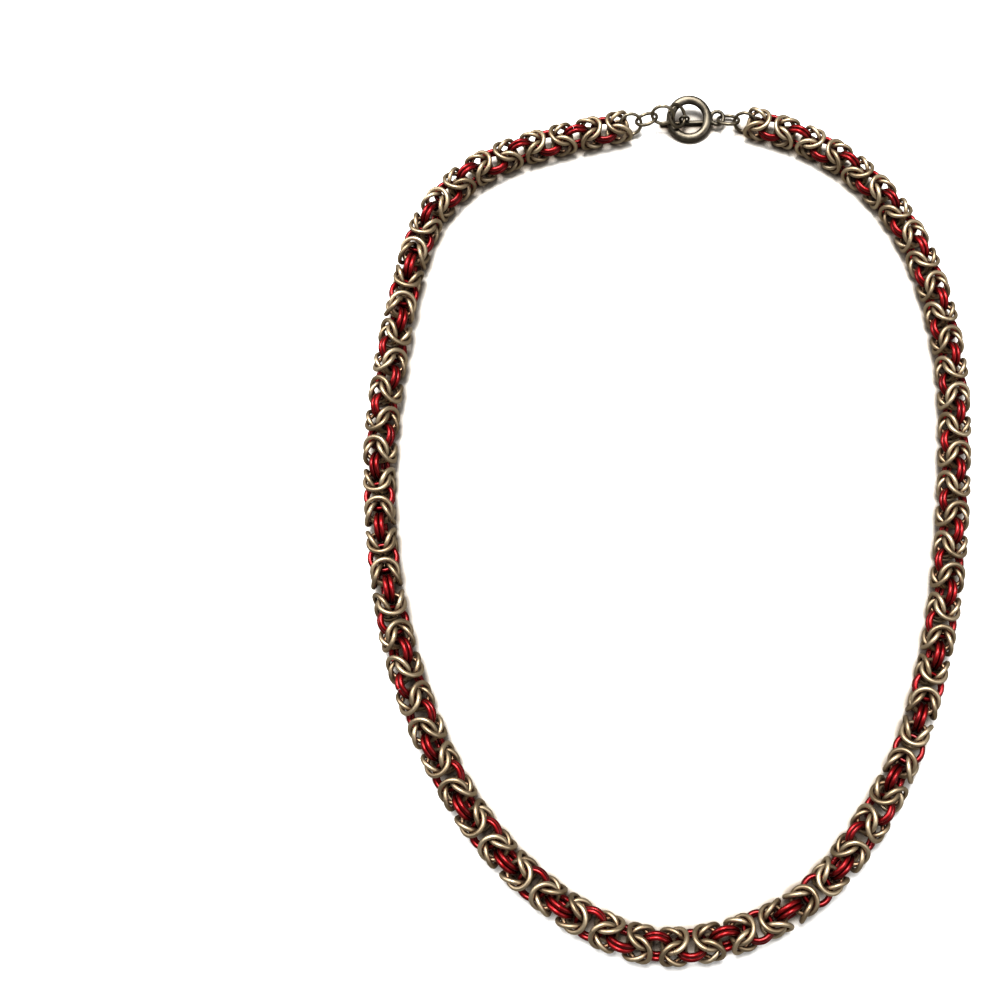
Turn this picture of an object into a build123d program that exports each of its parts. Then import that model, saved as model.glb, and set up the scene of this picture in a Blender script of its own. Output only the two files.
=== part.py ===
from build123d import *
import math
import os

os.makedirs("parts", exist_ok=True)

# Driving dimensions, in millimetres and degrees.

# Rings of the weave. The red ones are of thicker wire.
wire = 1.05
ring_bore = 4.5
red_wire = 1.15
red_bore = 4.6
# The two rings of a pair touch. They are let into each other by this share of the wire.
pair_bite = 0.1
# Each silver ring leans out of the chain's middle plane and sits a little past the middle of its knot.
silver_lean = 26.0
silver_advance = 0.18
# Neighbouring red pairs stand a quarter turn apart, with this much between them inside the knot.
pair_gap = 0.29

# Jump rings at the two ends of the chain.
end_wire = 0.85
end_bore = 4.5
# From the middle of the last jump ring to the middle of the first knot.
end_step = 3.3

# Clasp: a round toggle ring with a cast eyelet, and a bar with a standing loop.
rim_width = 2.2
rim_thickness = 1.7
rim_rounding = 0.75
toggle_bore = 7.2
toggle_tilt = 18.0
eyelet_wire = 1.0
eyelet_bore = 2.2
bar_thickness = 1.2
bar_length = 12.6
bar_rounding = 0.55
bar_place = -1.2
loop_wire = 0.6
loop_bore = 1.6
# Soldered pieces are let into each other by this much.
solder_bite = 0.25

# Where each jump ring hangs: (distance along the route from the toggle ring's middle, shift to the
# outer side, height of its middle, slope along the route, roll about the route).
left_link_1_place = (-15.06, 0.04, 3.58, 0.0, 61.4)
left_link_2_place = (-11.01, -0.13, 4.6, 11.2, -29.0)
left_link_3_place = (-6.9, -0.42, 5.61, 37.9, -106.5)
left_link_4_place = (-3.18, -0.12, 4.17, -41.3, 20.8)
right_link_1_place = (10.0, 0.2, 2.62, 6.0, -32.5)
right_link_2_place = (14.2, 0.0, 3.05, 0.0, 69.9)

# Where the necklace lies: points on its middle line, clockwise from the clasp, chosen by hand.
route_points = [
    (5.5, 98.8), (23.0, 96.6), (39.2, 89.6), (52.5, 77.5), (61.0, 62.0),
    (65.5, 44.5), (67.0, 27.0), (66.0, 9.0), (64.0, -8.5), (61.0, -26.0),
    (56.5, -43.0), (50.0, -59.5), (40.5, -74.5), (28.0, -87.5), (12.0, -95.0),
    (-5.5, -96.5), (-21.5, -90.0), (-35.5, -79.0), (-46.5, -65.0), (-54.5, -49.5),
    (-60.5, -33.0), (-64.5, -15.5), (-66.5, 2.0), (-66.5, 20.0), (-65.0, 37.5),
    (-62.5, 55.0), (-57.0, 72.0), (-45.0, 84.2), (-28.8, 91.0), (-11.7, 95.6),
]

# Middle of the box round the whole necklace, measured on those points. It is taken off again.
box_middle = (0.09, 1.82)
# The rolled links dip this much under their middle ones, so the whole chain is lifted by it.
chain_lift = 0.07

# How far the chain has rolled over, in degrees, at the connectors with these numbers, counted from
# the right end of the clasp.
roll_rows = [
    (0, 0), (4, -6), (9, -14), (14, -18), (18, -22), (21, -10), (25, 16), (27, 46), (29, 80),
    (31, 106), (33, 130), (35, 142), (38, 168), (41, 166), (44, 160), (47, 132), (50, 98),
    (52, 92), (54, 64), (57, 48), (60, 8), (63, -8), (66, -8), (70, 0),
]

# Sizes that follow.
ring_radius = (ring_bore + wire) / 2
red_radius = (red_bore + red_wire) / 2
end_radius = (end_bore + end_wire) / 2
toggle_radius = (toggle_bore + rim_width) / 2
eyelet_radius = (eyelet_bore + eyelet_wire) / 2
loop_radius = (loop_bore + loop_wire) / 2
pair_offset = wire * (1 - pair_bite) / 2
red_offset = red_wire * (1 - pair_bite) / 2
lean_sine = math.sin(math.radians(silver_lean))
lean_cosine = math.cos(math.radians(silver_lean))
silver_offset = ring_radius * lean_sine + pair_offset
advance = silver_advance * wire
wanted_pitch = red_bore + 2 * red_wire + pair_gap

centred_points = [(x - box_middle[0], y - box_middle[1]) for x, y in route_points]
route = Spline(*centred_points, periodic=True)
route_length = route.length


def torus(radius, thickness, centre=(0, 0, 0), normal=(0, 0, 1)):
    """A closed round ring: mean radius, thickness of its wire, middle and axis."""
    return Plane(origin=centre, z_dir=normal) * Torus(radius, thickness / 2)


def roll_at(share):
    """Roll of the chain in degrees at a share of its length, on a smooth line through the rows."""
    place = share * roll_rows[-1][0]
    last = len(roll_rows) - 1
    k = min(sum(1 for row in roll_rows[1:] if row[0] <= place), last - 1)
    (start, first), (end, second) = roll_rows[k], roll_rows[k + 1]
    before, after = roll_rows[max(k - 1, 0)], roll_rows[min(k + 2, last)]
    rise = (second - before[1]) / (end - before[0])
    fall = (after[1] - first) / (after[0] - start)
    width = end - start
    t = min(1.0, max(0.0, (place - start) / width))
    bend = t * (1 - t) * width * (rise * (1 - t) - fall * t)
    return first + (second - first) * t * t * (3 - 2 * t) + bend


def silver_reach(sine):
    """How far a silver pair reaches below the middle line when it has turned by this sine."""
    flat = math.sqrt(1 - (lean_cosine * sine) ** 2)
    return silver_offset * sine + ring_radius * flat + wire / 2


def line_height(share):
    """Height of the middle line, so that the lowest ring just touches the table."""
    roll = math.radians(roll_at(share))
    return chain_lift + max(silver_reach(abs(math.sin(roll))), silver_reach(abs(math.cos(roll))))


def on_route(distance, height, slope=0.0, roll=0.0, shift=0.0):
    """Frame on the route: x runs along it, y is its outer side, turned by the roll about x."""
    share = (distance / route_length) % 1.0
    place = route.position_at(share)
    along = route.tangent_at(share)
    up = Vector(0, 0, 1)
    level = Vector(along.X, along.Y, 0).normalized()
    outward = up.cross(level)
    forward = (level + up * slope).normalized()
    raised = forward.cross(outward)
    turn = math.radians(roll)
    axis = raised * math.cos(turn) - outward * math.sin(turn)
    origin = Vector(place.X, place.Y, height) + outward * shift
    return Plane(origin=origin, x_dir=forward, z_dir=axis)


# Two patterns are made once and then laid along the route.
# A red pair: two rings side by side, let into each other where they touch.
red_ring = torus(red_radius, red_wire, (0, 0, red_offset))
red_pair = red_ring.fuse(torus(red_radius, red_wire, (0, 0, -red_offset)))
# A silver pair: two rings that lean apart and open towards +x.
silver_ring = torus(ring_radius, wire, (0, silver_offset, 0), (-lean_sine, lean_cosine, 0))
silver_pair = silver_ring.fuse(torus(ring_radius, wire, (0, -silver_offset, 0), (lean_sine, lean_cosine, 0)))

# The first and the last knot hang in the last jump rings. Their number is even, so that both turn
# the same side to the clasp.
first_knot = right_link_2_place[0] + end_step
last_knot = route_length + left_link_1_place[0] - end_step
pitch_count = 2 * round(((last_knot - first_knot) / wanted_pitch + 1) / 2)
pitch = (last_knot - first_knot) / (pitch_count - 1)
chain_start = first_knot - pitch / 2
chain_length = pitch_count * pitch


def chain_frame(distance):
    """Frame of the chain at a distance along the route, rolled as the chain is."""
    share = (distance - chain_start) / chain_length
    step = 0.5 * pitch / chain_length
    ahead = line_height(min(1.0, share + step))
    behind = line_height(max(0.0, share - step))
    return on_route(distance, line_height(share), (ahead - behind) / pitch, roll_at(share))


connectors = []
for i in range(1, pitch_count):
    frame = chain_frame(chain_start + i * pitch)
    # Connectors lie flat and stand on edge in turn.
    quarter = 0 if i % 2 else 90
    connectors.append(frame.location * Rot(quarter, 0, 0) * red_pair)

knots = []
for i in range(pitch_count):
    frame = chain_frame(chain_start + (i + 0.5) * pitch)
    first_quarter = 0 if i % 2 else 90
    second_quarter = 90 - first_quarter
    first = Pos(advance, 0, 0) * Rot(first_quarter, 0, 0) * silver_pair
    second = Pos(-advance, 0, 0) * Rot(second_quarter, 0, 0) * Rot(0, 0, 180) * silver_pair
    knots.append(frame.location * first)
    knots.append(frame.location * second)


def jump_ring(hang, radius, thickness):
    """A round jump ring of the clasp, from one of the rows above."""
    distance, shift, height, slope, roll = hang
    frame = on_route(distance, height, math.tan(math.radians(slope)), roll, shift)
    return frame.location * Torus(radius, thickness / 2)


left_link_1 = jump_ring(left_link_1_place, end_radius, end_wire)
left_link_2 = jump_ring(left_link_2_place, end_radius, end_wire)
left_link_3 = jump_ring(left_link_3_place, end_radius, end_wire)
left_link_4 = jump_ring(left_link_4_place, end_radius, end_wire)
right_link_1 = jump_ring(right_link_1_place, end_radius, end_wire)
right_link_2 = jump_ring(right_link_2_place, end_radius, end_wire)

# The toggle ring leans back, with its near side on the table.
tilt = math.radians(toggle_tilt)
rim_lift = (toggle_radius + rim_width / 2 - rim_rounding) * math.sin(tilt)
toggle_height = rim_lift + (rim_thickness / 2 - rim_rounding) * math.cos(tilt) + rim_rounding
toggle_frame = on_route(0.0, toggle_height, 0.0, toggle_tilt)
rim_section = Plane.XZ * Pos(toggle_radius, 0) * RectangleRounded(rim_width, rim_thickness, rim_rounding)
rim = revolve(rim_section, Axis.Z)
eyelet_place = toggle_radius + rim_width / 2 + eyelet_radius - solder_bite
toggle_ring = toggle_frame.location * rim.fuse(torus(eyelet_radius, eyelet_wire, (eyelet_place, 0, 0)))

# The bar lies on the table across the toggle ring, under both sides of its rim.
bar_frame = on_route(bar_place, bar_thickness / 2, 0.0, 0.0, 0.0)
rod = Rot(0, 90, 0) * Cylinder(bar_thickness / 2, bar_length)
rod = fillet(rod.edges().filter_by(GeomType.CIRCLE), bar_rounding)
loop_height = bar_thickness / 2 + loop_radius + loop_wire / 2 - solder_bite
loop = torus(loop_radius, loop_wire, (0, 0, loop_height), (0, 1, 0))
toggle_bar = bar_frame.location * rod.fuse(loop)

pieces = {
    "connector_links": Compound(children=connectors),
    "knot_links": Compound(children=knots),
    "toggle_ring": toggle_ring,
    "toggle_bar": toggle_bar,
    "left_link_1": left_link_1,
    "left_link_2": left_link_2,
    "left_link_3": left_link_3,
    "left_link_4": left_link_4,
    "right_link_1": right_link_1,
    "right_link_2": right_link_2,
}
for name, shape in pieces.items():
    box = shape.bounding_box()
    solids = len(shape.solids())
    print(name, solids, "solids", [round(v, 3) for v in (*box.min, *box.max)], round(shape.volume, 2))
    shape.label = name
    export_step(shape, "parts/" + name + ".step")
print("pitches", pitch_count, "of", round(pitch, 4), "route", round(route_length, 2))
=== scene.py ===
# %% [markdown]
# # A chainmail necklace, laid flat
# The necklace is woven from round wire rings. Knots of four silver-coloured rings alternate with
# pairs of red ones, and a toggle ring and bar close the loop. The CAD model holds every link in its
# true place, but as closed shapes. This script gives each link its separate rings, its cut ends and
# its metal, and sets up a table, lights and a camera.

# %% Load the part
import math

import bpy
import numpy as np
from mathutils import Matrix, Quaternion, Vector


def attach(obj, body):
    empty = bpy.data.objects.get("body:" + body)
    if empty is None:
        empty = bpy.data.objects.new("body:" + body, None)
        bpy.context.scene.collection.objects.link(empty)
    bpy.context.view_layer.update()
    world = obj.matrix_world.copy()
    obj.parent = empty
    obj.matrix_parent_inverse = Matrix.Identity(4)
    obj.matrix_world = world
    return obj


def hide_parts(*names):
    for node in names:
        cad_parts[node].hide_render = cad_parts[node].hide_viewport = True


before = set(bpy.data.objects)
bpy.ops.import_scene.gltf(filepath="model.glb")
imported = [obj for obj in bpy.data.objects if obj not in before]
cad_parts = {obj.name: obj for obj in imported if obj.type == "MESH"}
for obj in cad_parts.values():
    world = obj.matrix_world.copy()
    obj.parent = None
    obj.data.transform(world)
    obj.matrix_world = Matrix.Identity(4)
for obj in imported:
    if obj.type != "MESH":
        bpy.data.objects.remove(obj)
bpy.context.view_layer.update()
print("nodes", sorted(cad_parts))

# %% [markdown]
# ## Sizes
# A weave is ruled by the wire and the bore of its rings. Everything else follows from these two and
# from the pitch that they leave. They could be measured on the CAD meshes, but a named value can be
# read and changed. These are the CAD model's own, in metres, with three small changes. The rings of
# a pair overlap there and lie a hair apart here. To stay inside its box all the same, the silver
# rings are a little smaller, and the chain is lifted a little more.

# %% Sizes of the rings
MM = 0.001
WIRE = 1.05 * MM
RING_RADIUS = 2.73 * MM
RED_WIRE = 1.15 * MM
RED_RADIUS = 2.875 * MM
# Middles of two rings that lie side by side, in wires. Real ones just touch.
PAIR_STEP = 1.01
# Each silver ring leans out of the chain's middle plane and sits a little past the knot's middle.
SILVER_LEAN = math.radians(26)
SILVER_ADVANCE = 0.18 * WIRE
# Neighbouring red pairs stand a quarter turn apart, with this much between them inside the knot.
PAIR_GAP = 0.29 * MM
WANTED_PITCH = 2 * RED_RADIUS + RED_WIRE + PAIR_GAP
END_WIRE = 0.85 * MM
END_RADIUS = 2.675 * MM
# From the middle of the last jump ring to the middle of the first knot.
END_STEP = 3.3 * MM
# The rolled links dip under their middle ones, so the whole chain is lifted by this.
CHAIN_LIFT = 0.09 * MM
print("pitch wanted", round(WANTED_PITCH / MM, 3), "mm")

# %% [markdown]
# ## The line that the necklace lies on
# A laid necklace takes an uneven loop, wider than a neck. The loop could be drawn as a Bezier curve
# or left to fall in a simulation. Here a separate tracing program gave thirty evenly spaced points.
# Nineteen were only rounded, and eleven were then moved, by up to 1.5 mm. They are those of the CAD
# model, so the rings come to lie where its links are.

# %% Points of the line
# In millimetres, clockwise from the clasp, with the middle of the box that they are centred on.
BOX_MIDDLE = np.array([0.09, 1.82])
ROUTE_POINTS = np.array([
    (5.5, 98.8), (23.0, 96.6), (39.2, 89.6), (52.5, 77.5), (61.0, 62.0),
    (65.5, 44.5), (67.0, 27.0), (66.0, 9.0), (64.0, -8.5), (61.0, -26.0),
    (56.5, -43.0), (50.0, -59.5), (40.5, -74.5), (28.0, -87.5), (12.0, -95.0),
    (-5.5, -96.5), (-21.5, -90.0), (-35.5, -79.0), (-46.5, -65.0), (-54.5, -49.5),
    (-60.5, -33.0), (-64.5, -15.5), (-66.5, 2.0), (-66.5, 20.0), (-65.0, 37.5),
    (-62.5, 55.0), (-57.0, 72.0), (-45.0, 84.2), (-28.8, 91.0), (-11.7, 95.6),
])
print("points", len(ROUTE_POINTS))

# %% [markdown]
# ## A smooth curve through the points
# A woven chain bends evenly and has no corners. A closed cubic spline does the same: each point has
# one unknown, how sharply the curve bends there, and one equation with its two neighbours. A Curve
# modifier could bend a straight chain along such a line, but it would bend every ring too, and a
# ring of wire stays round. So the curve is only measured, and the rings are laid on it one by one.

# %% Closed spline
FINE_STEPS = 9000


def closed_spline(points, steps):
    """Points on the smooth closed curve through the given ones, its knots a chord apart."""
    count = len(points)
    gaps = np.linalg.norm(np.roll(points, -1, axis=0) - points, axis=1)
    matrix = np.zeros((count, count))
    right = np.zeros((count, 2))
    for i in range(count):
        before = gaps[i - 1]
        after = gaps[i]
        previous = (i - 1) % count
        following = (i + 1) % count
        matrix[i, previous] = before
        matrix[i, i] = 2 * (before + after)
        matrix[i, following] = after
        rise = (points[following] - points[i]) / after
        fall = (points[i] - points[previous]) / before
        right[i] = 6 * (rise - fall)
    bends = np.linalg.solve(matrix, right)
    knots = np.concatenate([[0.0], np.cumsum(gaps)])
    places = np.linspace(0.0, knots[-1], steps, endpoint=False)
    index = np.searchsorted(knots, places, side="right") - 1
    following = (index + 1) % count
    gap = gaps[index][:, None]
    a = (knots[index + 1] - places)[:, None] / gap
    b = 1 - a
    straight = a * points[index] + b * points[following]
    bent = ((a**3 - a) * bends[index] + (b**3 - b) * bends[following]) * gap**2 / 6
    return straight + bent


curve = closed_spline((ROUTE_POINTS - BOX_MIDDLE) * MM, FINE_STEPS)
curve = np.vstack([curve, curve[:1]])
travelled = np.concatenate([[0.0], np.cumsum(np.linalg.norm(np.diff(curve, axis=0), axis=1))])
route_length = travelled[-1]
print("line", round(route_length / MM, 2), "mm")

# %% [markdown]
# ## Places on the line
# Each ring needs a place and three directions: along the line, to its outer side, and up. An empty
# could be parented to a curve at each place, but hundreds of them would fill the scene. Three cross
# products give the same directions, and a roll about the line turns them.

# %% A place and its directions
# The direction of the line is measured over this much on both sides of a place.
STRETCH = 0.1 * MM


def route_point(distance):
    """The place on the line at this distance from the toggle ring, clockwise seen from above."""
    distance = distance % route_length
    return np.array([np.interp(distance, travelled, curve[:, k]) for k in (0, 1)])


def unit(vector):
    """The vector at a length of one."""
    return vector / np.linalg.norm(vector)


def on_route(distance, height, slope=0.0, roll=0.0, shift=0.0):
    """Origin and three axes on the line: along it, its outer side, and what is up for the ring."""
    along = unit(route_point(distance + STRETCH) - route_point(distance - STRETCH))
    level = np.array([along[0], along[1], 0.0])
    up = np.array([0.0, 0.0, 1.0])
    outward = np.cross(up, level)
    forward = unit(level + up * slope)
    raised = np.cross(forward, outward)
    axis = raised * math.cos(roll) - outward * math.sin(roll)
    side = np.cross(axis, forward)
    place = route_point(distance)
    origin = np.array([place[0], place[1], height]) + outward * shift
    return origin, np.array([forward, side, axis])


print("clasp at", np.round(route_point(0.0) / MM, 2), "mm")

# %% [markdown]
# ## Knots along the line
# Jump rings join the weave to the clasp: two on the side of the toggle ring and four on the side of
# the bar. The weave starts and ends in the last of them, and the knots share out what lies between.
# An Array modifier could fit a count to a length, but here the count is also even, so that both
# ends turn the same side to the clasp.

# %% Count and pitch of the knots
# Where each jump ring hangs: distance along the line, shift to its outer side and height, all in
# millimetres, then the slope along the line and the roll about it, in degrees. Separate search
# programs found these places, for rings that link and don't touch, and they were rounded.
JUMP_PLACES = {
    "left_link_1": (-15.06, 0.04, 3.58, 0.0, 61.4),
    "left_link_2": (-11.01, -0.13, 4.6, 11.2, -29.0),
    "left_link_3": (-6.9, -0.42, 5.61, 37.9, -106.5),
    "left_link_4": (-3.18, -0.12, 4.17, -41.3, 20.8),
    "right_link_1": (10.0, 0.2, 2.62, 6.0, -32.5),
    "right_link_2": (14.2, 0.0, 3.05, 0.0, 69.9),
}
first_knot = JUMP_PLACES["right_link_2"][0] * MM + END_STEP
last_knot = route_length + JUMP_PLACES["left_link_1"][0] * MM - END_STEP
pitch_count = 2 * round(((last_knot - first_knot) / WANTED_PITCH + 1) / 2)
pitch = (last_knot - first_knot) / (pitch_count - 1)
chain_start = first_knot - pitch / 2
chain_length = pitch_count * pitch
print("knots", pitch_count, "pitch", round(pitch / MM, 4), "mm")

# %% [markdown]
# ## How the chain has rolled over
# A chain of this weave is as wide as it is thick, and it rolls over as it is laid down. Down the
# right side every second red pair lies flat and the ones between stand on edge. Along the bottom
# the chain turns half over, and up the left side it turns back. A simulation would end in a roll of
# its own, so this necklace's roll was read off. The rows give it in degrees at some of the
# connectors, counted from the right end of the clasp, and a smooth line joins them.

# %% Roll of the chain
ROLL_ROWS = [
    (0, 0), (4, -6), (9, -14), (14, -18), (18, -22), (21, -10), (25, 16), (27, 46), (29, 80),
    (31, 106), (33, 130), (35, 142), (38, 168), (41, 166), (44, 160), (47, 132), (50, 98),
    (52, 92), (54, 64), (57, 48), (60, 8), (63, -8), (66, -8), (70, 0),
]


def roll_at(share):
    """Roll of the chain in degrees at a share of its length, on a smooth line through the rows."""
    place = share * ROLL_ROWS[-1][0]
    last = len(ROLL_ROWS) - 1
    k = min(sum(1 for row in ROLL_ROWS[1:] if row[0] <= place), last - 1)
    (start, first), (end, second) = ROLL_ROWS[k], ROLL_ROWS[k + 1]
    before, after = ROLL_ROWS[max(k - 1, 0)], ROLL_ROWS[min(k + 2, last)]
    rise = (second - before[1]) / (end - before[0])
    fall = (after[1] - first) / (after[0] - start)
    width = end - start
    t = min(1.0, max(0.0, (place - start) / width))
    bend = t * (1 - t) * width * (rise * (1 - t) - fall * t)
    return first + (second - first) * t * t * (3 - 2 * t) + bend


print("roll half way round", round(roll_at(0.5)), "degrees")

# %% [markdown]
# ## How high the chain lies
# The section of the weave is nearly square, so the chain lies lower on a flat side than on an edge.
# It could be dropped on the table as a rigid body, but that would shake the links out of place. How
# far a leaning ring reaches down follows from its lean and the roll, so the height is worked out.

# %% Height and direction of the chain
silver_offset = RING_RADIUS * math.sin(SILVER_LEAN) + WIRE * PAIR_STEP / 2


def silver_reach(sine):
    """How far a silver pair reaches below the middle line when it has turned by this sine."""
    flat = math.sqrt(1 - (math.cos(SILVER_LEAN) * sine) ** 2)
    return silver_offset * sine + RING_RADIUS * flat + WIRE / 2


def line_height(share):
    """Height of the middle line, so that the lowest ring just touches the table."""
    roll = math.radians(roll_at(share))
    return CHAIN_LIFT + max(silver_reach(abs(math.sin(roll))), silver_reach(abs(math.cos(roll))))


def chain_frame(distance):
    """Origin and axes of the weave at this distance, rolled and sloped as the chain is."""
    share = (distance - chain_start) / chain_length
    step = 0.5 * pitch / chain_length
    climb = line_height(min(1.0, share + step)) - line_height(max(0.0, share - step))
    return on_route(distance, line_height(share), climb / pitch, math.radians(roll_at(share)))


print("middle line at the first knot", round(line_height(0.0) / MM, 2), "mm high")

# %% [markdown]
# ## One ring
# A jump ring is wire wound on a rod and cut through once, so it has a fine slit, with two flat ends
# that rarely meet exactly. Blender's torus has no slit, and hundreds of Boolean cuts would be slow.
# So the points are laid along the wire from one side of the slit to the other, a little open and a
# little out of line.

# %% Points of a cut ring
STEPS_ALONG = 56
STEPS_AROUND = 12
# The least and the most that a slit stands open, in millimetres.
SLIT = (0.02, 0.07)
# How far its two ends usually miss each other, in millimetres.
MISFIT = 0.02
# The same seed gives the same slits and tones each time.
SEED = 11
random = np.random.default_rng(SEED)


def ring_points(radius, wire):
    """Points of one cut ring about +Z, in rows round the wire, with the slit turned at random."""
    opening = random.uniform(*SLIT) * MM / radius
    cut = random.uniform(0, 2 * math.pi)
    lift = random.normal(0, MISFIT) * MM
    spread = random.normal(0, MISFIT) * MM
    t = np.linspace(0, 1, STEPS_ALONG + 1)[:, None]
    around = (np.arange(STEPS_AROUND) / STEPS_AROUND * 2 * math.pi)[None, :]
    along = cut + opening / 2 + t * (2 * math.pi - opening)
    out = radius + spread * (t - 0.5) + wire / 2 * np.cos(around)
    height = lift * (t - 0.5) + wire / 2 * np.sin(around)
    return np.stack([out * np.cos(along), out * np.sin(along), height], axis=2).reshape(-1, 3)


print("points in a ring", (STEPS_ALONG + 1) * STEPS_AROUND)

# %% [markdown]
# ## Its faces and its place
# The faces are the same for every ring, so they are listed once: quads along the wire and a flat
# end on each side of the slit. A ring is then turned to its axis and moved to its middle. Copies of
# one object could be turned instead, but each ring here has a slit of its own.

# %% Faces of a ring, and a ring in its place
def ring_faces():
    """Faces of one ring: quads along the wire and a flat end on each side of the slit."""
    faces = []
    for i in range(STEPS_ALONG):
        for j in range(STEPS_AROUND):
            k = (j + 1) % STEPS_AROUND
            row = i * STEPS_AROUND
            below = row + STEPS_AROUND
            faces.append((row + j, below + j, below + k, row + k))
    last = STEPS_ALONG * STEPS_AROUND
    faces.append(tuple(range(STEPS_AROUND)))
    faces.append(tuple(last + STEPS_AROUND - 1 - j for j in range(STEPS_AROUND)))
    return faces


def ring_at(middle, axis, radius=RING_RADIUS, wire=WIRE):
    """Points of a ring at this middle, about this axis."""
    axis = unit(np.asarray(axis))
    helper = np.array([0.0, 0.0, 1.0]) if abs(axis[2]) < 0.9 else np.array([1.0, 0.0, 0.0])
    first = unit(np.cross(helper, axis))
    second = np.cross(axis, first)
    return ring_points(radius, wire) @ np.array([first, second, axis]) + middle


ONE_RING = ring_faces()
print("faces in a ring", len(ONE_RING))

# %% [markdown]
# ## From rings to a piece
# Hundreds of rings could be hundreds of objects, but they would be slow to open and hard to pick.
# They become a few pieces instead. Each ring keeps three notes on its points, which the metals
# read: how far along the wire they are, how far around it, and the ring's own tone, because
# tarnish differs from ring to ring.

# %% Many rings in one piece
# The flat ends of the wire stay sharp, and all flatter edges are shaded smooth.
SHARP_ANGLE = math.radians(50)


def ring_notes():
    """Along and around the wire, as a share of the ring, for each point of one ring."""
    t = np.repeat(np.linspace(0, 1, STEPS_ALONG + 1), STEPS_AROUND)
    around = np.tile(np.arange(STEPS_AROUND) / STEPS_AROUND, STEPS_ALONG + 1)
    return t, around


def make_piece(name, rings, material):
    """One mesh of many rings, riding on the part."""
    points = np.vstack(rings)
    size = len(rings[0])
    faces = [tuple(size * n + v for v in face) for n in range(len(rings)) for face in ONE_RING]
    mesh = bpy.data.meshes.new(name)
    mesh.from_pydata(points.tolist(), [], faces)
    mesh.polygons.foreach_set("use_smooth", [True] * len(faces))
    mesh.set_sharp_from_angle(angle=SHARP_ANGLE)
    t, around = ring_notes()
    tone = np.repeat(random.uniform(0, 1, len(rings)), size)
    notes = {"along": np.tile(t, len(rings)), "around": np.tile(around, len(rings)), "tone": tone}
    for note, values in notes.items():
        layer = mesh.attributes.new(note, "FLOAT", "POINT")
        layer.data.foreach_set("value", values.astype(np.float32))
    piece = bpy.data.objects.new(name, mesh)
    bpy.context.scene.collection.objects.link(piece)
    mesh.materials.append(material)
    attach(piece, "root")
    print(name, len(rings), "rings", len(faces), "faces")
    return piece


print("ready to join rings, sharp over", round(math.degrees(SHARP_ANGLE)), "degrees")

# %% [markdown]
# ## Materials in code
# A material is a net of nodes. It could be drawn by hand in the shader editor, but in code it comes
# out the same each time. A few helpers for the steps that repeat keep it short.

# %% Helpers for nodes
# The Mix node has sockets for each kind of value. These are the ones for colours, by their number.
MIX_FACTOR = 0
MIX_FIRST = 6
MIX_SECOND = 7
MIX_RESULT = 2


def add_node(tree, kind, **values):
    """A shader node with the given settings and socket values."""
    node = tree.nodes.new(kind)
    for key, value in values.items():
        if key in node.inputs:
            node.inputs[key].default_value = value
        else:
            setattr(node, key, value)
    return node


def colour_ramp(tree, factor, stops):
    """A ramp of colours over a factor. Each stop is a place and a colour."""
    ramp = tree.nodes.new("ShaderNodeValToRGB")
    while len(ramp.color_ramp.elements) < len(stops):
        ramp.color_ramp.elements.new(0.5)
    for element, (place, colour) in zip(ramp.color_ramp.elements, stops):
        element.position = place
        element.color = (*colour, 1.0)
    tree.links.new(factor, ramp.inputs["Fac"])
    return ramp.outputs["Color"]


def grey_ramp(tree, factor, first, second):
    """A ramp between two grey values, each a place and a value."""
    return colour_ramp(tree, factor, [(place, (value,) * 3) for place, value in (first, second)])


def mixed(tree, first, second, factor, blend="MIX"):
    """Two colours mixed by a factor, each a socket or a plain value."""
    node = add_node(tree, "ShaderNodeMix", data_type="RGBA", blend_type=blend)
    for socket, value in ((MIX_FACTOR, factor), (MIX_FIRST, first), (MIX_SECOND, second)):
        if isinstance(value, bpy.types.NodeSocket):
            tree.links.new(value, node.inputs[socket])
        else:
            node.inputs[socket].default_value = value
    return node.outputs[MIX_RESULT]


def bump(tree, height, distance, strength=0.5):
    """A fine relief of this height, as a bent normal."""
    node = add_node(tree, "ShaderNodeBump", Strength=strength, Distance=distance)
    tree.links.new(height, node.inputs["Height"])
    return node.outputs["Normal"]


def new_material(name, **values):
    """A material with one principled shader, whose plain values are given."""
    material = bpy.data.materials.new(name)
    material.use_nodes = True
    shader = material.node_tree.nodes["Principled BSDF"]
    for key, value in values.items():
        shader.inputs[key].default_value = value
    return material, material.node_tree, shader


print("helpers ready, materials so far", len(bpy.data.materials))

# %% [markdown]
# ## Clouds and drawn lines
# Wire is drawn through a plate, which leaves fine lines along it, and handling adds cloudy stains.
# Painted images could show both, but each ring would have to be unwrapped. The notes on the points
# already say where along and around the wire they are, so noise on those notes runs as the lines
# do, and plain noise in the object's space gives the stains.

# %% Noise for stains and lines
# The tone of a ring, times this, gives each ring lines of its own.
LINES_APART = 90.0


def read_note(tree, name):
    """One of the three notes that each ring keeps on its points."""
    return add_node(tree, "ShaderNodeAttribute", attribute_name=name).outputs["Fac"]


def noise(tree, scale, detail=3.0):
    """Cloudy noise in the object's space."""
    texture = add_node(tree, "ShaderNodeTexNoise", Scale=scale, Detail=detail)
    place = tree.nodes.new("ShaderNodeTexCoord").outputs["Object"]
    tree.links.new(place, texture.inputs["Vector"])
    return texture.outputs["Fac"]


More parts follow.
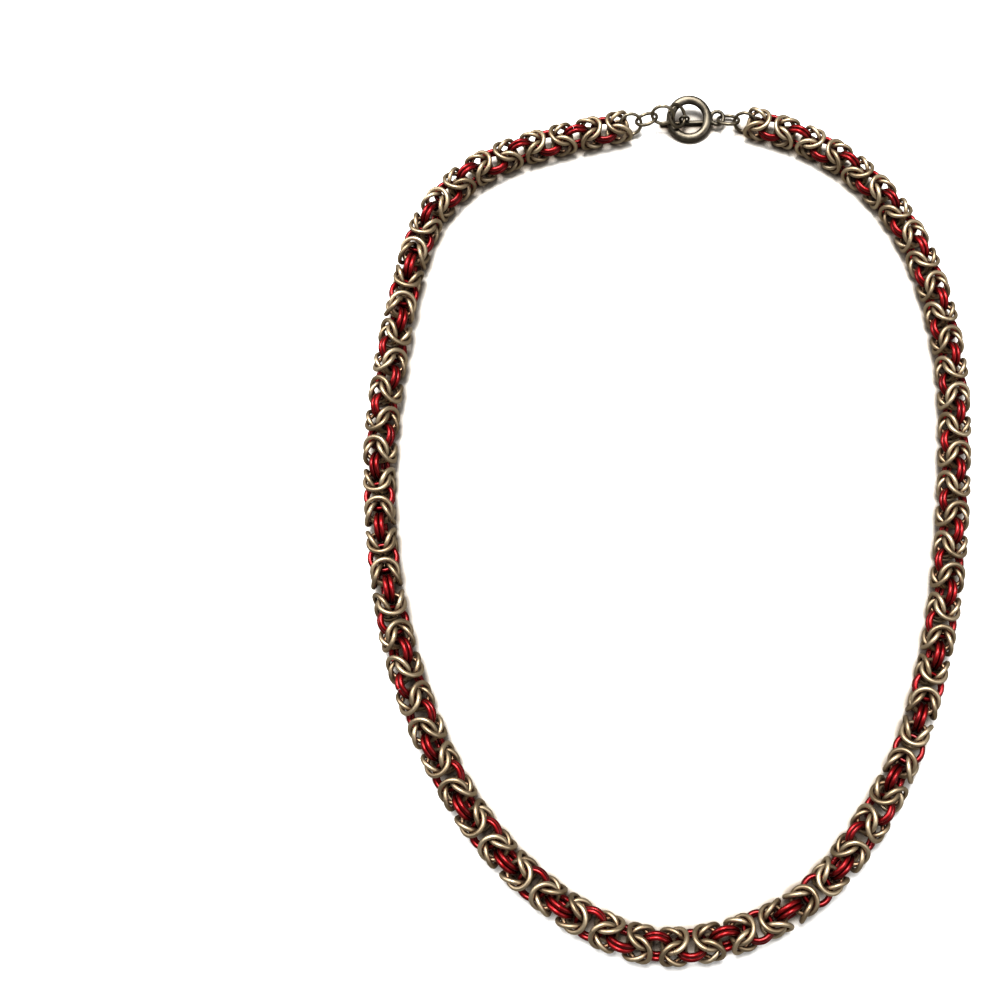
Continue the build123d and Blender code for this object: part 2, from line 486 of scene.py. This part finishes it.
def wire_lines(tree, along_scale, around_scale):
    """Noise drawn out along the wire: fine lines that run round each ring."""
    combine = tree.nodes.new("ShaderNodeCombineXYZ")
    scales = {"X": ("along", along_scale), "Y": ("around", around_scale), "Z": ("tone", LINES_APART)}
    for socket, (note, scale) in scales.items():
        multiply = add_node(tree, "ShaderNodeMath", operation="MULTIPLY")
        tree.links.new(read_note(tree, note), multiply.inputs[0])
        multiply.inputs[1].default_value = scale
        tree.links.new(multiply.outputs[0], combine.inputs[socket])
    texture = add_node(tree, "ShaderNodeTexNoise", Scale=1.0, Detail=2.0)
    tree.links.new(combine.outputs[0], texture.inputs["Vector"])
    return texture.outputs["Fac"]


print("each ring's lines differ by up to", LINES_APART)

# %% [markdown]
# ## Painted shade in the hollows
# Where the rings crowd together, the colour of the metal is darkened as painted shade. A
# mask could be painted by hand on every ring. Ambient occlusion asks the shape itself instead: how
# much other metal stands close to this point.

# %% Shade of the hollows
HOLLOW_SAMPLES = 8
# The share of open space at which a hollow is darkest, and at which it has gone.
HOLLOW_FROM = 0.25
HOLLOW_TO = 0.85


def painted_hollow_shade(tree, reach, dark):
    """Painted shade: dark where other metal stands close, else white."""
    hidden = add_node(tree, "ShaderNodeAmbientOcclusion", Distance=reach, samples=HOLLOW_SAMPLES)
    return colour_ramp(tree, hidden.outputs["AO"], [(HOLLOW_FROM, dark), (HOLLOW_TO, (1.0, 1.0, 1.0))])


print("hollows fade between", HOLLOW_FROM, "and", HOLLOW_TO)

# %% [markdown]
# ## Red anodised rings
# The red rings are aluminium with a dyed, clear skin: deep, glossy, with pale glints. Glossy red
# paint would look flat, because it takes its colour from below the shine. Here the metal itself is
# red, so its reflections are too, and a thin coat adds the pale glints.

# %% The red metal
RED_TINTS = [
    (0.25, (0.115, 0.002, 0.003)),
    (0.55, (0.175, 0.004, 0.005)),
    (0.8, (0.235, 0.007, 0.009)),
]
# Painted shade for the hollows between the red rings, and how far from other metal it reaches.
RED_PAINTED_SHADE = (0.16, 0.10, 0.10)
RED_HOLLOW_REACH = 2.2 * MM
# How fine the stains are, and the lines along and around the wire.
RED_STAINS = 260.0
RED_LINES = (7.0, 34.0)
RED_ROUGHNESS = ((0.3, 0.36), (0.75, 0.50))
RED_RELIEF = 0.01 * MM


def red_anodised():
    """Dyed metal under a thin clear coat."""
    material, tree, shader = new_material(
        "red_anodised", **{"Metallic": 1.0, "Coat Weight": 0.18, "Coat Roughness": 0.2}
    )
    depth = mixed(tree, read_note(tree, "tone"), noise(tree, RED_STAINS), 0.5)
    tint = colour_ramp(tree, depth, RED_TINTS)
    shade = painted_hollow_shade(tree, RED_HOLLOW_REACH, RED_PAINTED_SHADE)
    tree.links.new(mixed(tree, tint, shade, 1.0, "MULTIPLY"), shader.inputs["Base Color"])
    lines = wire_lines(tree, *RED_LINES)
    tree.links.new(grey_ramp(tree, lines, *RED_ROUGHNESS), shader.inputs["Roughness"])
    tree.links.new(bump(tree, lines, RED_RELIEF, 0.35), shader.inputs["Normal"])
    return material


RED = red_anodised()
print("material", RED.name)

# %% [markdown]
# ## Worn silver-coloured rings
# The other rings are plated wire that has gone warm and brown, with lines from drawing and
# handling. One even grey would look new. So the colour runs between a dark, a warm and a pale tone,
# and the ring's own tone, the stains and the lines choose together. The jump rings are the same
# metal, darker and smoother.

# %% The silver and the jump ring metal
# From dark to pale, as shares of the mixed tone.
WORN_PLACES = (0.28, 0.5, 0.72)
SILVER_TINTS = ((0.175, 0.125, 0.074), (0.345, 0.265, 0.17), (0.48, 0.395, 0.27))
JUMP_TINTS = ((0.075, 0.06, 0.041), (0.14, 0.117, 0.082), (0.21, 0.18, 0.13))
# Painted shade for the hollows between rings, tinted red as a painted reflection of the red rings, and
# how far it reaches.
WORN_PAINTED_SHADE = (0.27, 0.12, 0.08)
WORN_HOLLOW_REACH = 2.0 * MM
WORN_STAINS = 420.0
WORN_LINES = (5.0, 40.0)
WORN_RELIEF = 0.015 * MM
SILVER_ROUGHNESS = 0.42
JUMP_ROUGHNESS = 0.34


def worn_silver(name, tints, roughness):
    """Plated wire with stains, drawn lines and painted shade in the hollows."""
    material, tree, shader = new_material(name, **{"Metallic": 1.0})
    cloud = noise(tree, WORN_STAINS, 4.0)
    lines = wire_lines(tree, *WORN_LINES)
    depth = mixed(tree, mixed(tree, read_note(tree, "tone"), cloud, 0.55), lines, 0.3)
    tint = colour_ramp(tree, depth, list(zip(WORN_PLACES, tints)))
    shade = painted_hollow_shade(tree, WORN_HOLLOW_REACH, WORN_PAINTED_SHADE)
    tree.links.new(mixed(tree, tint, shade, 1.0, "MULTIPLY"), shader.inputs["Base Color"])
    rough = grey_ramp(tree, lines, (0.3, roughness - 0.08), (0.75, roughness + 0.14))
    tree.links.new(rough, shader.inputs["Roughness"])
    tree.links.new(bump(tree, lines, WORN_RELIEF), shader.inputs["Normal"])
    return material


SILVER = worn_silver("tarnished_silver", SILVER_TINTS, SILVER_ROUGHNESS)
JUMP = worn_silver("jump_ring_metal", JUMP_TINTS, JUMP_ROUGHNESS)
print("materials", [m.name for m in bpy.data.materials])

# %% [markdown]
# ## The red connectors
# Each connector is two red rings side by side, and each next one stands a quarter turn from the
# last. An Array modifier with a turned offset could repeat them on a straight line. Here each ring
# is laid straight into its place on the loop, as a maker would close it there.

# %% Red rings of the weave
def laid(frame_here, place, axis, quarter, advance=0.0, radius=RING_RADIUS, wire=WIRE):
    """A ring of a pattern: its place and axis, turned a quarter about the line if asked."""
    origin, axes = frame_here
    if quarter:
        place = (place[0], -place[2], place[1])
        axis = (axis[0], -axis[2], axis[1])
    middle = origin + (np.array(place) + np.array([advance, 0, 0])) @ axes
    return ring_at(middle, np.array(axis) @ axes, radius, wire)


red_step = RED_WIRE * PAIR_STEP / 2
red_rings = []
for i in range(1, pitch_count):
    here = chain_frame(chain_start + i * pitch)
    for side in (-1, 1):
        place = (0, 0, side * red_step)
        red_rings.append(laid(here, place, (0, 0, 1), i % 2 == 0, 0.0, RED_RADIUS, RED_WIRE))
print("red rings", len(red_rings))

# %% [markdown]
# ## The silver knots
# Each knot is two pairs of silver rings, crossed, and each pair leans open so that the next
# connector can lie between its rings. That nesting is what makes the weave look like a round cord.
# The pattern could be drawn once and copied, but the chain bends and rolls, so the same rule of
# lean and side is followed afresh at each knot.

# %% Silver rings of the weave
silver_rings = []
for i in range(pitch_count):
    here = chain_frame(chain_start + (i + 0.5) * pitch)
    first_quarter = i % 2 == 0
    for facing, quarter in ((1, first_quarter), (-1, not first_quarter)):
        for side in (-1, 1):
            place = (0, side * silver_offset, 0)
            axis = (-facing * side * math.sin(SILVER_LEAN), math.cos(SILVER_LEAN), 0)
            silver_rings.append(laid(here, place, axis, quarter, facing * SILVER_ADVANCE))
print("silver rings", len(silver_rings))

# %% [markdown]
# ## The weave as pieces
# On the real necklace the weave comes apart only if its rings are opened. One mesh would do for the
# eye, but the red and the silver rings are two metals, and the silver ones are many, so they are
# kept as a right and a left half. Each piece stands in for the CAD links that it follows.

# %% Pieces of the weave
half = len(silver_rings) // 2
red = make_piece("red_rings", red_rings, RED)
right_half = make_piece("silver_rings_right", silver_rings[:half], SILVER)
left_half = make_piece("silver_rings_left", silver_rings[half:], SILVER)
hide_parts("connector_links")
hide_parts("knot_links")
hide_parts("knot_links")

# %% [markdown]
# ## The jump rings of the clasp
# They are plain rings of thinner wire. There are more of them on the side of the bar, so that the
# bar can be swung out of the toggle ring. They could keep their CAD shapes, but those have no slit.
# Each one is cut through like the rings of the weave, and hangs where its CAD solid does.

# %% Jump rings
for node, (distance, shift, height, slope, roll) in JUMP_PLACES.items():
    origin, axes = on_route(
        distance * MM, height * MM, math.tan(math.radians(slope)), math.radians(roll), shift * MM
    )
    ring = ring_at(origin, axes[2], END_RADIUS, END_WIRE)
    piece = make_piece("cut_" + node, [ring], JUMP)
    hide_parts(node)

# %% [markdown]
# ## The cast metal
# The toggle ring and its bar are cast and tumbled: a dark bronze colour, with a fine grain instead
# of drawn lines. The metal of the wire would give them lines that a casting never has, so they get
# one of their own, with plain noise for both the colour and the grain.

# %% The cast metal
CAST_TINTS = [
    (0.3, (0.048, 0.041, 0.031)),
    (0.55, (0.078, 0.068, 0.052)),
    (0.75, (0.12, 0.105, 0.082)),
]
# Painted shade where other metal stands close to the cast ring, and how far it reaches.
CAST_PAINTED_SHADE = (0.24, 0.18, 0.12)
CAST_HOLLOW_REACH = 2.4 * MM
CAST_STAINS = 500.0
CAST_ROUGHNESS = ((0.3, 0.30), (0.7, 0.46))
CAST_GRAIN = 1400.0
CAST_RELIEF = 0.03 * MM


def cast_metal():
    """Dark tumbled metal with a fine grain."""
    material, tree, shader = new_material("cast_clasp_metal", **{"Metallic": 1.0})
    cloud = noise(tree, CAST_STAINS, 5.0)
    tint = colour_ramp(tree, cloud, CAST_TINTS)
    shade = painted_hollow_shade(tree, CAST_HOLLOW_REACH, CAST_PAINTED_SHADE)
    tree.links.new(mixed(tree, tint, shade, 1.0, "MULTIPLY"), shader.inputs["Base Color"])
    tree.links.new(grey_ramp(tree, cloud, *CAST_ROUGHNESS), shader.inputs["Roughness"])
    tree.links.new(bump(tree, noise(tree, CAST_GRAIN, 2.0), CAST_RELIEF), shader.inputs["Normal"])
    return material


CAST = cast_metal()
print("material", CAST.name)

# %% [markdown]
# ## The bar
# The bar is a plain round rod with a loop soldered on it. It has no seam and no slit, so a new mesh
# would show nothing more. Its CAD shape stays and only gets the metal.

# %% The toggle bar
for slot_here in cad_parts["toggle_bar"].material_slots:
    slot_here.material = CAST
print("cast metal on the toggle bar")

# %% [markdown]
# ## The toggle ring
# A cast ring comes out of its mould round and soft: tumbling wears every edge away, and the eyelet
# grows out of the rim in a smooth neck. A lathe profile can't give that neck. So a rim and an
# eyelet are swept first, as two rings that run into each other, with a section that can be chosen
# between an ellipse and a rectangle.

# %% Rim and eyelet
RIM_RADIUS = 4.7 * MM
RIM_WIDTH = 2.2 * MM
RIM_THICKNESS = 1.7 * MM
RIM_ROUNDING = 0.75 * MM
EYELET_RADIUS = 1.6 * MM
EYELET_WIRE = 1.0 * MM
# How far the eyelet is let into the rim.
SOLDER_BITE = 0.25 * MM
# How square a section is: 2 is an ellipse.
RIM_POWER = 2.35
ROUND_POWER = 2
# Steps round each ring, and round its section.
RIM_STEPS = (96, 28)
EYELET_STEPS = (48, 18)


def swept_ring(radius, half_width, half_height, power, centre_x, steps):
    """A closed ring about +Z with a section between an ellipse and a rectangle."""
    turns, around = steps
    turn = np.linspace(0, 2 * math.pi, turns, endpoint=False)[:, None]
    section = np.linspace(0, 2 * math.pi, around, endpoint=False)[None, :]
    reach = np.sign(np.cos(section)) * np.abs(np.cos(section)) ** (2 / power) * half_width
    rise = np.sign(np.sin(section)) * np.abs(np.sin(section)) ** (2 / power) * half_height
    out = radius + reach
    points = np.stack([centre_x + out * np.cos(turn), out * np.sin(turn), rise + 0 * turn], axis=2)
    faces = []
    for i in range(turns):
        for j in range(around):
            after = (i + 1) % turns
            k = (j + 1) % around
            faces.append((i * around + j, after * around + j, after * around + k, i * around + k))
    return points.reshape(-1, 3), faces


rim_points, rim_faces = swept_ring(
    RIM_RADIUS, RIM_WIDTH / 2, RIM_THICKNESS / 2, RIM_POWER, 0.0, RIM_STEPS
)
eyelet_middle = RIM_RADIUS + RIM_WIDTH / 2 + EYELET_RADIUS - SOLDER_BITE
eye_points, eye_faces = swept_ring(
    EYELET_RADIUS, EYELET_WIRE / 2, EYELET_WIRE / 2, ROUND_POWER, eyelet_middle, EYELET_STEPS
)
eye_faces = [tuple(v + len(rim_points) for v in face) for face in eye_faces]
print("faces", len(rim_faces), "in the rim and", len(eye_faces), "in the eyelet")

# %% [markdown]
# ## Rim and eyelet melted together
# The two swept rings are merged with the Remesh modifier, and their joint is relaxed with Smooth. A
# Boolean would leave a hard line there instead of a neck. The result stays inside the CAD ring,
# which leans back with its near side on the table.

# %% The cast toggle ring
TOGGLE_TILT = math.radians(18)
VOXEL = 0.13 * MM
RELAX_FACTOR = 0.5
RELAX_TURNS = 6
rim_reach = RIM_RADIUS + RIM_WIDTH / 2 - RIM_ROUNDING
half_flat = RIM_THICKNESS / 2 - RIM_ROUNDING
rim_lift = rim_reach * math.sin(TOGGLE_TILT) + half_flat * math.cos(TOGGLE_TILT)
origin, axes = on_route(0.0, rim_lift + RIM_ROUNDING, 0.0, TOGGLE_TILT)
ring_mesh = bpy.data.meshes.new("cast_toggle_ring")
placed = np.vstack([rim_points, eye_points]) @ axes + origin
ring_mesh.from_pydata(placed.tolist(), [], rim_faces + eye_faces)
ring_piece = bpy.data.objects.new("cast_toggle_ring", ring_mesh)
bpy.context.scene.collection.objects.link(ring_piece)
melt = ring_piece.modifiers.new("melt", "REMESH")
melt.mode = "VOXEL"
melt.voxel_size = VOXEL
melt.use_smooth_shade = True
relax = ring_piece.modifiers.new("relax", "SMOOTH")
relax.factor = RELAX_FACTOR
relax.iterations = RELAX_TURNS
ring_mesh.materials.append(CAST)
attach(ring_piece, "root")
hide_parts("toggle_ring")
print("toggle ring", round(RIM_RADIUS / MM * 2, 1), "mm across its middle line")

# %% [markdown]
# ## The table
# The necklace lies on a matt, nearly white sheet, and its shadow is soft, close and brown. A plain
# white plane under these lights shows too little of that shadow. Ambient occlusion on the sheet
# adds it: the nearer the links stand, the darker and browner the sheet. What the metal reflects of
# the sheet is kept dull, so that the undersides of the rings don't glow.

# %% The sheet on the table
TABLE = 2.0
# How far from the links their closest shadow reaches.
SHADOW_REACH = 5.0 * MM
SHADOW_SAMPLES = 16
SHADOW_TINTS = [
    (0.28, (0.085, 0.055, 0.04)),
    (0.46, (0.19, 0.155, 0.12)),
    (0.64, (0.55, 0.51, 0.46)),
    (0.80, (0.95, 0.95, 0.95)),
]
# How much of the sheet the metal reflects.
REFLECTED = (0.16, 0.15, 0.13, 1)
bpy.ops.mesh.primitive_plane_add(size=TABLE, location=(0, 0, 0))
table = bpy.context.object
table.name = "table"
sheet, sheet_tree, sheet_shader = new_material("pale_sheet", **{"Roughness": 0.95})
close = add_node(
    sheet_tree, "ShaderNodeAmbientOcclusion", Distance=SHADOW_REACH, samples=SHADOW_SAMPLES
)
contact = colour_ramp(sheet_tree, close.outputs["AO"], SHADOW_TINTS)
seen = sheet_tree.nodes.new("ShaderNodeLightPath").outputs["Is Camera Ray"]
dull = mixed(sheet_tree, contact, REFLECTED, 1.0, "MULTIPLY")
sheet_tree.links.new(mixed(sheet_tree, dull, contact, seen), sheet_shader.inputs["Base Color"])
table.data.materials.append(sheet)
print("table", TABLE, "m wide")

# %% [markdown]
# ## Light
# The light falls from above and behind, a little from the left, and is large and soft. A sun lamp
# would give hard shadows, and a bright world alone would give none. So one area light does most of
# the work, two weaker ones fill the sides, and a dim, pale world lights what is left.

# %% Lights
# Place and width of the square in metres, power in watts, and colour.
LIGHTS = {
    "key": ((-0.06, 0.30, 0.85), 0.34, 20.0, (1.0, 0.98, 0.94)),
    "left": ((-0.60, 0.25, 0.55), 0.40, 4.5, (1, 1, 1)),
    "fill": ((0.6, -0.2, 0.6), 0.5, 2.5, (1, 1, 1)),
}
WORLD_COLOUR = (1.0, 0.98, 0.95, 1)
WORLD_STRENGTH = 0.28


def area_light(name, place, size, power, colour):
    """A square soft light that is turned to the middle of the necklace."""
    data = bpy.data.lights.new(name, "AREA")
    data.size = size
    data.energy = power
    data.color = colour
    light = bpy.data.objects.new(name, data)
    bpy.context.scene.collection.objects.link(light)
    light.location = place
    light.rotation_euler = (-Vector(place)).to_track_quat("-Z", "Y").to_euler()


for name, (place, size, power, colour) in LIGHTS.items():
    area_light(name, place, size, power, colour)
world = bpy.data.worlds.new("room")
world.use_nodes = True
world.node_tree.nodes["Background"].inputs["Color"].default_value = WORLD_COLOUR
world.node_tree.nodes["Background"].inputs["Strength"].default_value = WORLD_STRENGTH
bpy.context.scene.world = world
bpy.context.scene.view_settings.view_transform = "Standard"
print("lights", list(LIGHTS))

# %% [markdown]
# ## Camera
# The necklace is seen from above its near side, close enough for the clasp to look a little
# smaller than the front. The place and the aim could be set by dragging, but as numbers they can be
# tuned one at a time until the loop falls where it should. These started from a fit, by a separate
# program, to knots that are evenly spaced. The lens shift moves the picture without turning the
# camera.

# %% Camera
CAMERA_PLACE = Vector((-7.59, -62.61, 224.5)) * MM
CAMERA_AIM = Vector((-0.95, -8.20, 3.4)) * MM
CAMERA_ROLL = math.radians(6.62)
camera_data = bpy.data.cameras.new("camera")
camera_data.sensor_width = 36.0
camera_data.lens = 36.0
camera_data.shift_x = -0.168
camera_data.shift_y = 0.02
camera_data.clip_start = 0.01
camera_data.clip_end = 10.0
camera = bpy.data.objects.new("camera", camera_data)
bpy.context.scene.collection.objects.link(camera)
camera.location = CAMERA_PLACE
look = (CAMERA_AIM - CAMERA_PLACE).to_track_quat("-Z", "Y")
camera.rotation_euler = (look @ Quaternion((0, 0, 1), CAMERA_ROLL)).to_euler()
bpy.context.scene.camera = camera
print("camera", [round(v, 4) for v in camera.location])
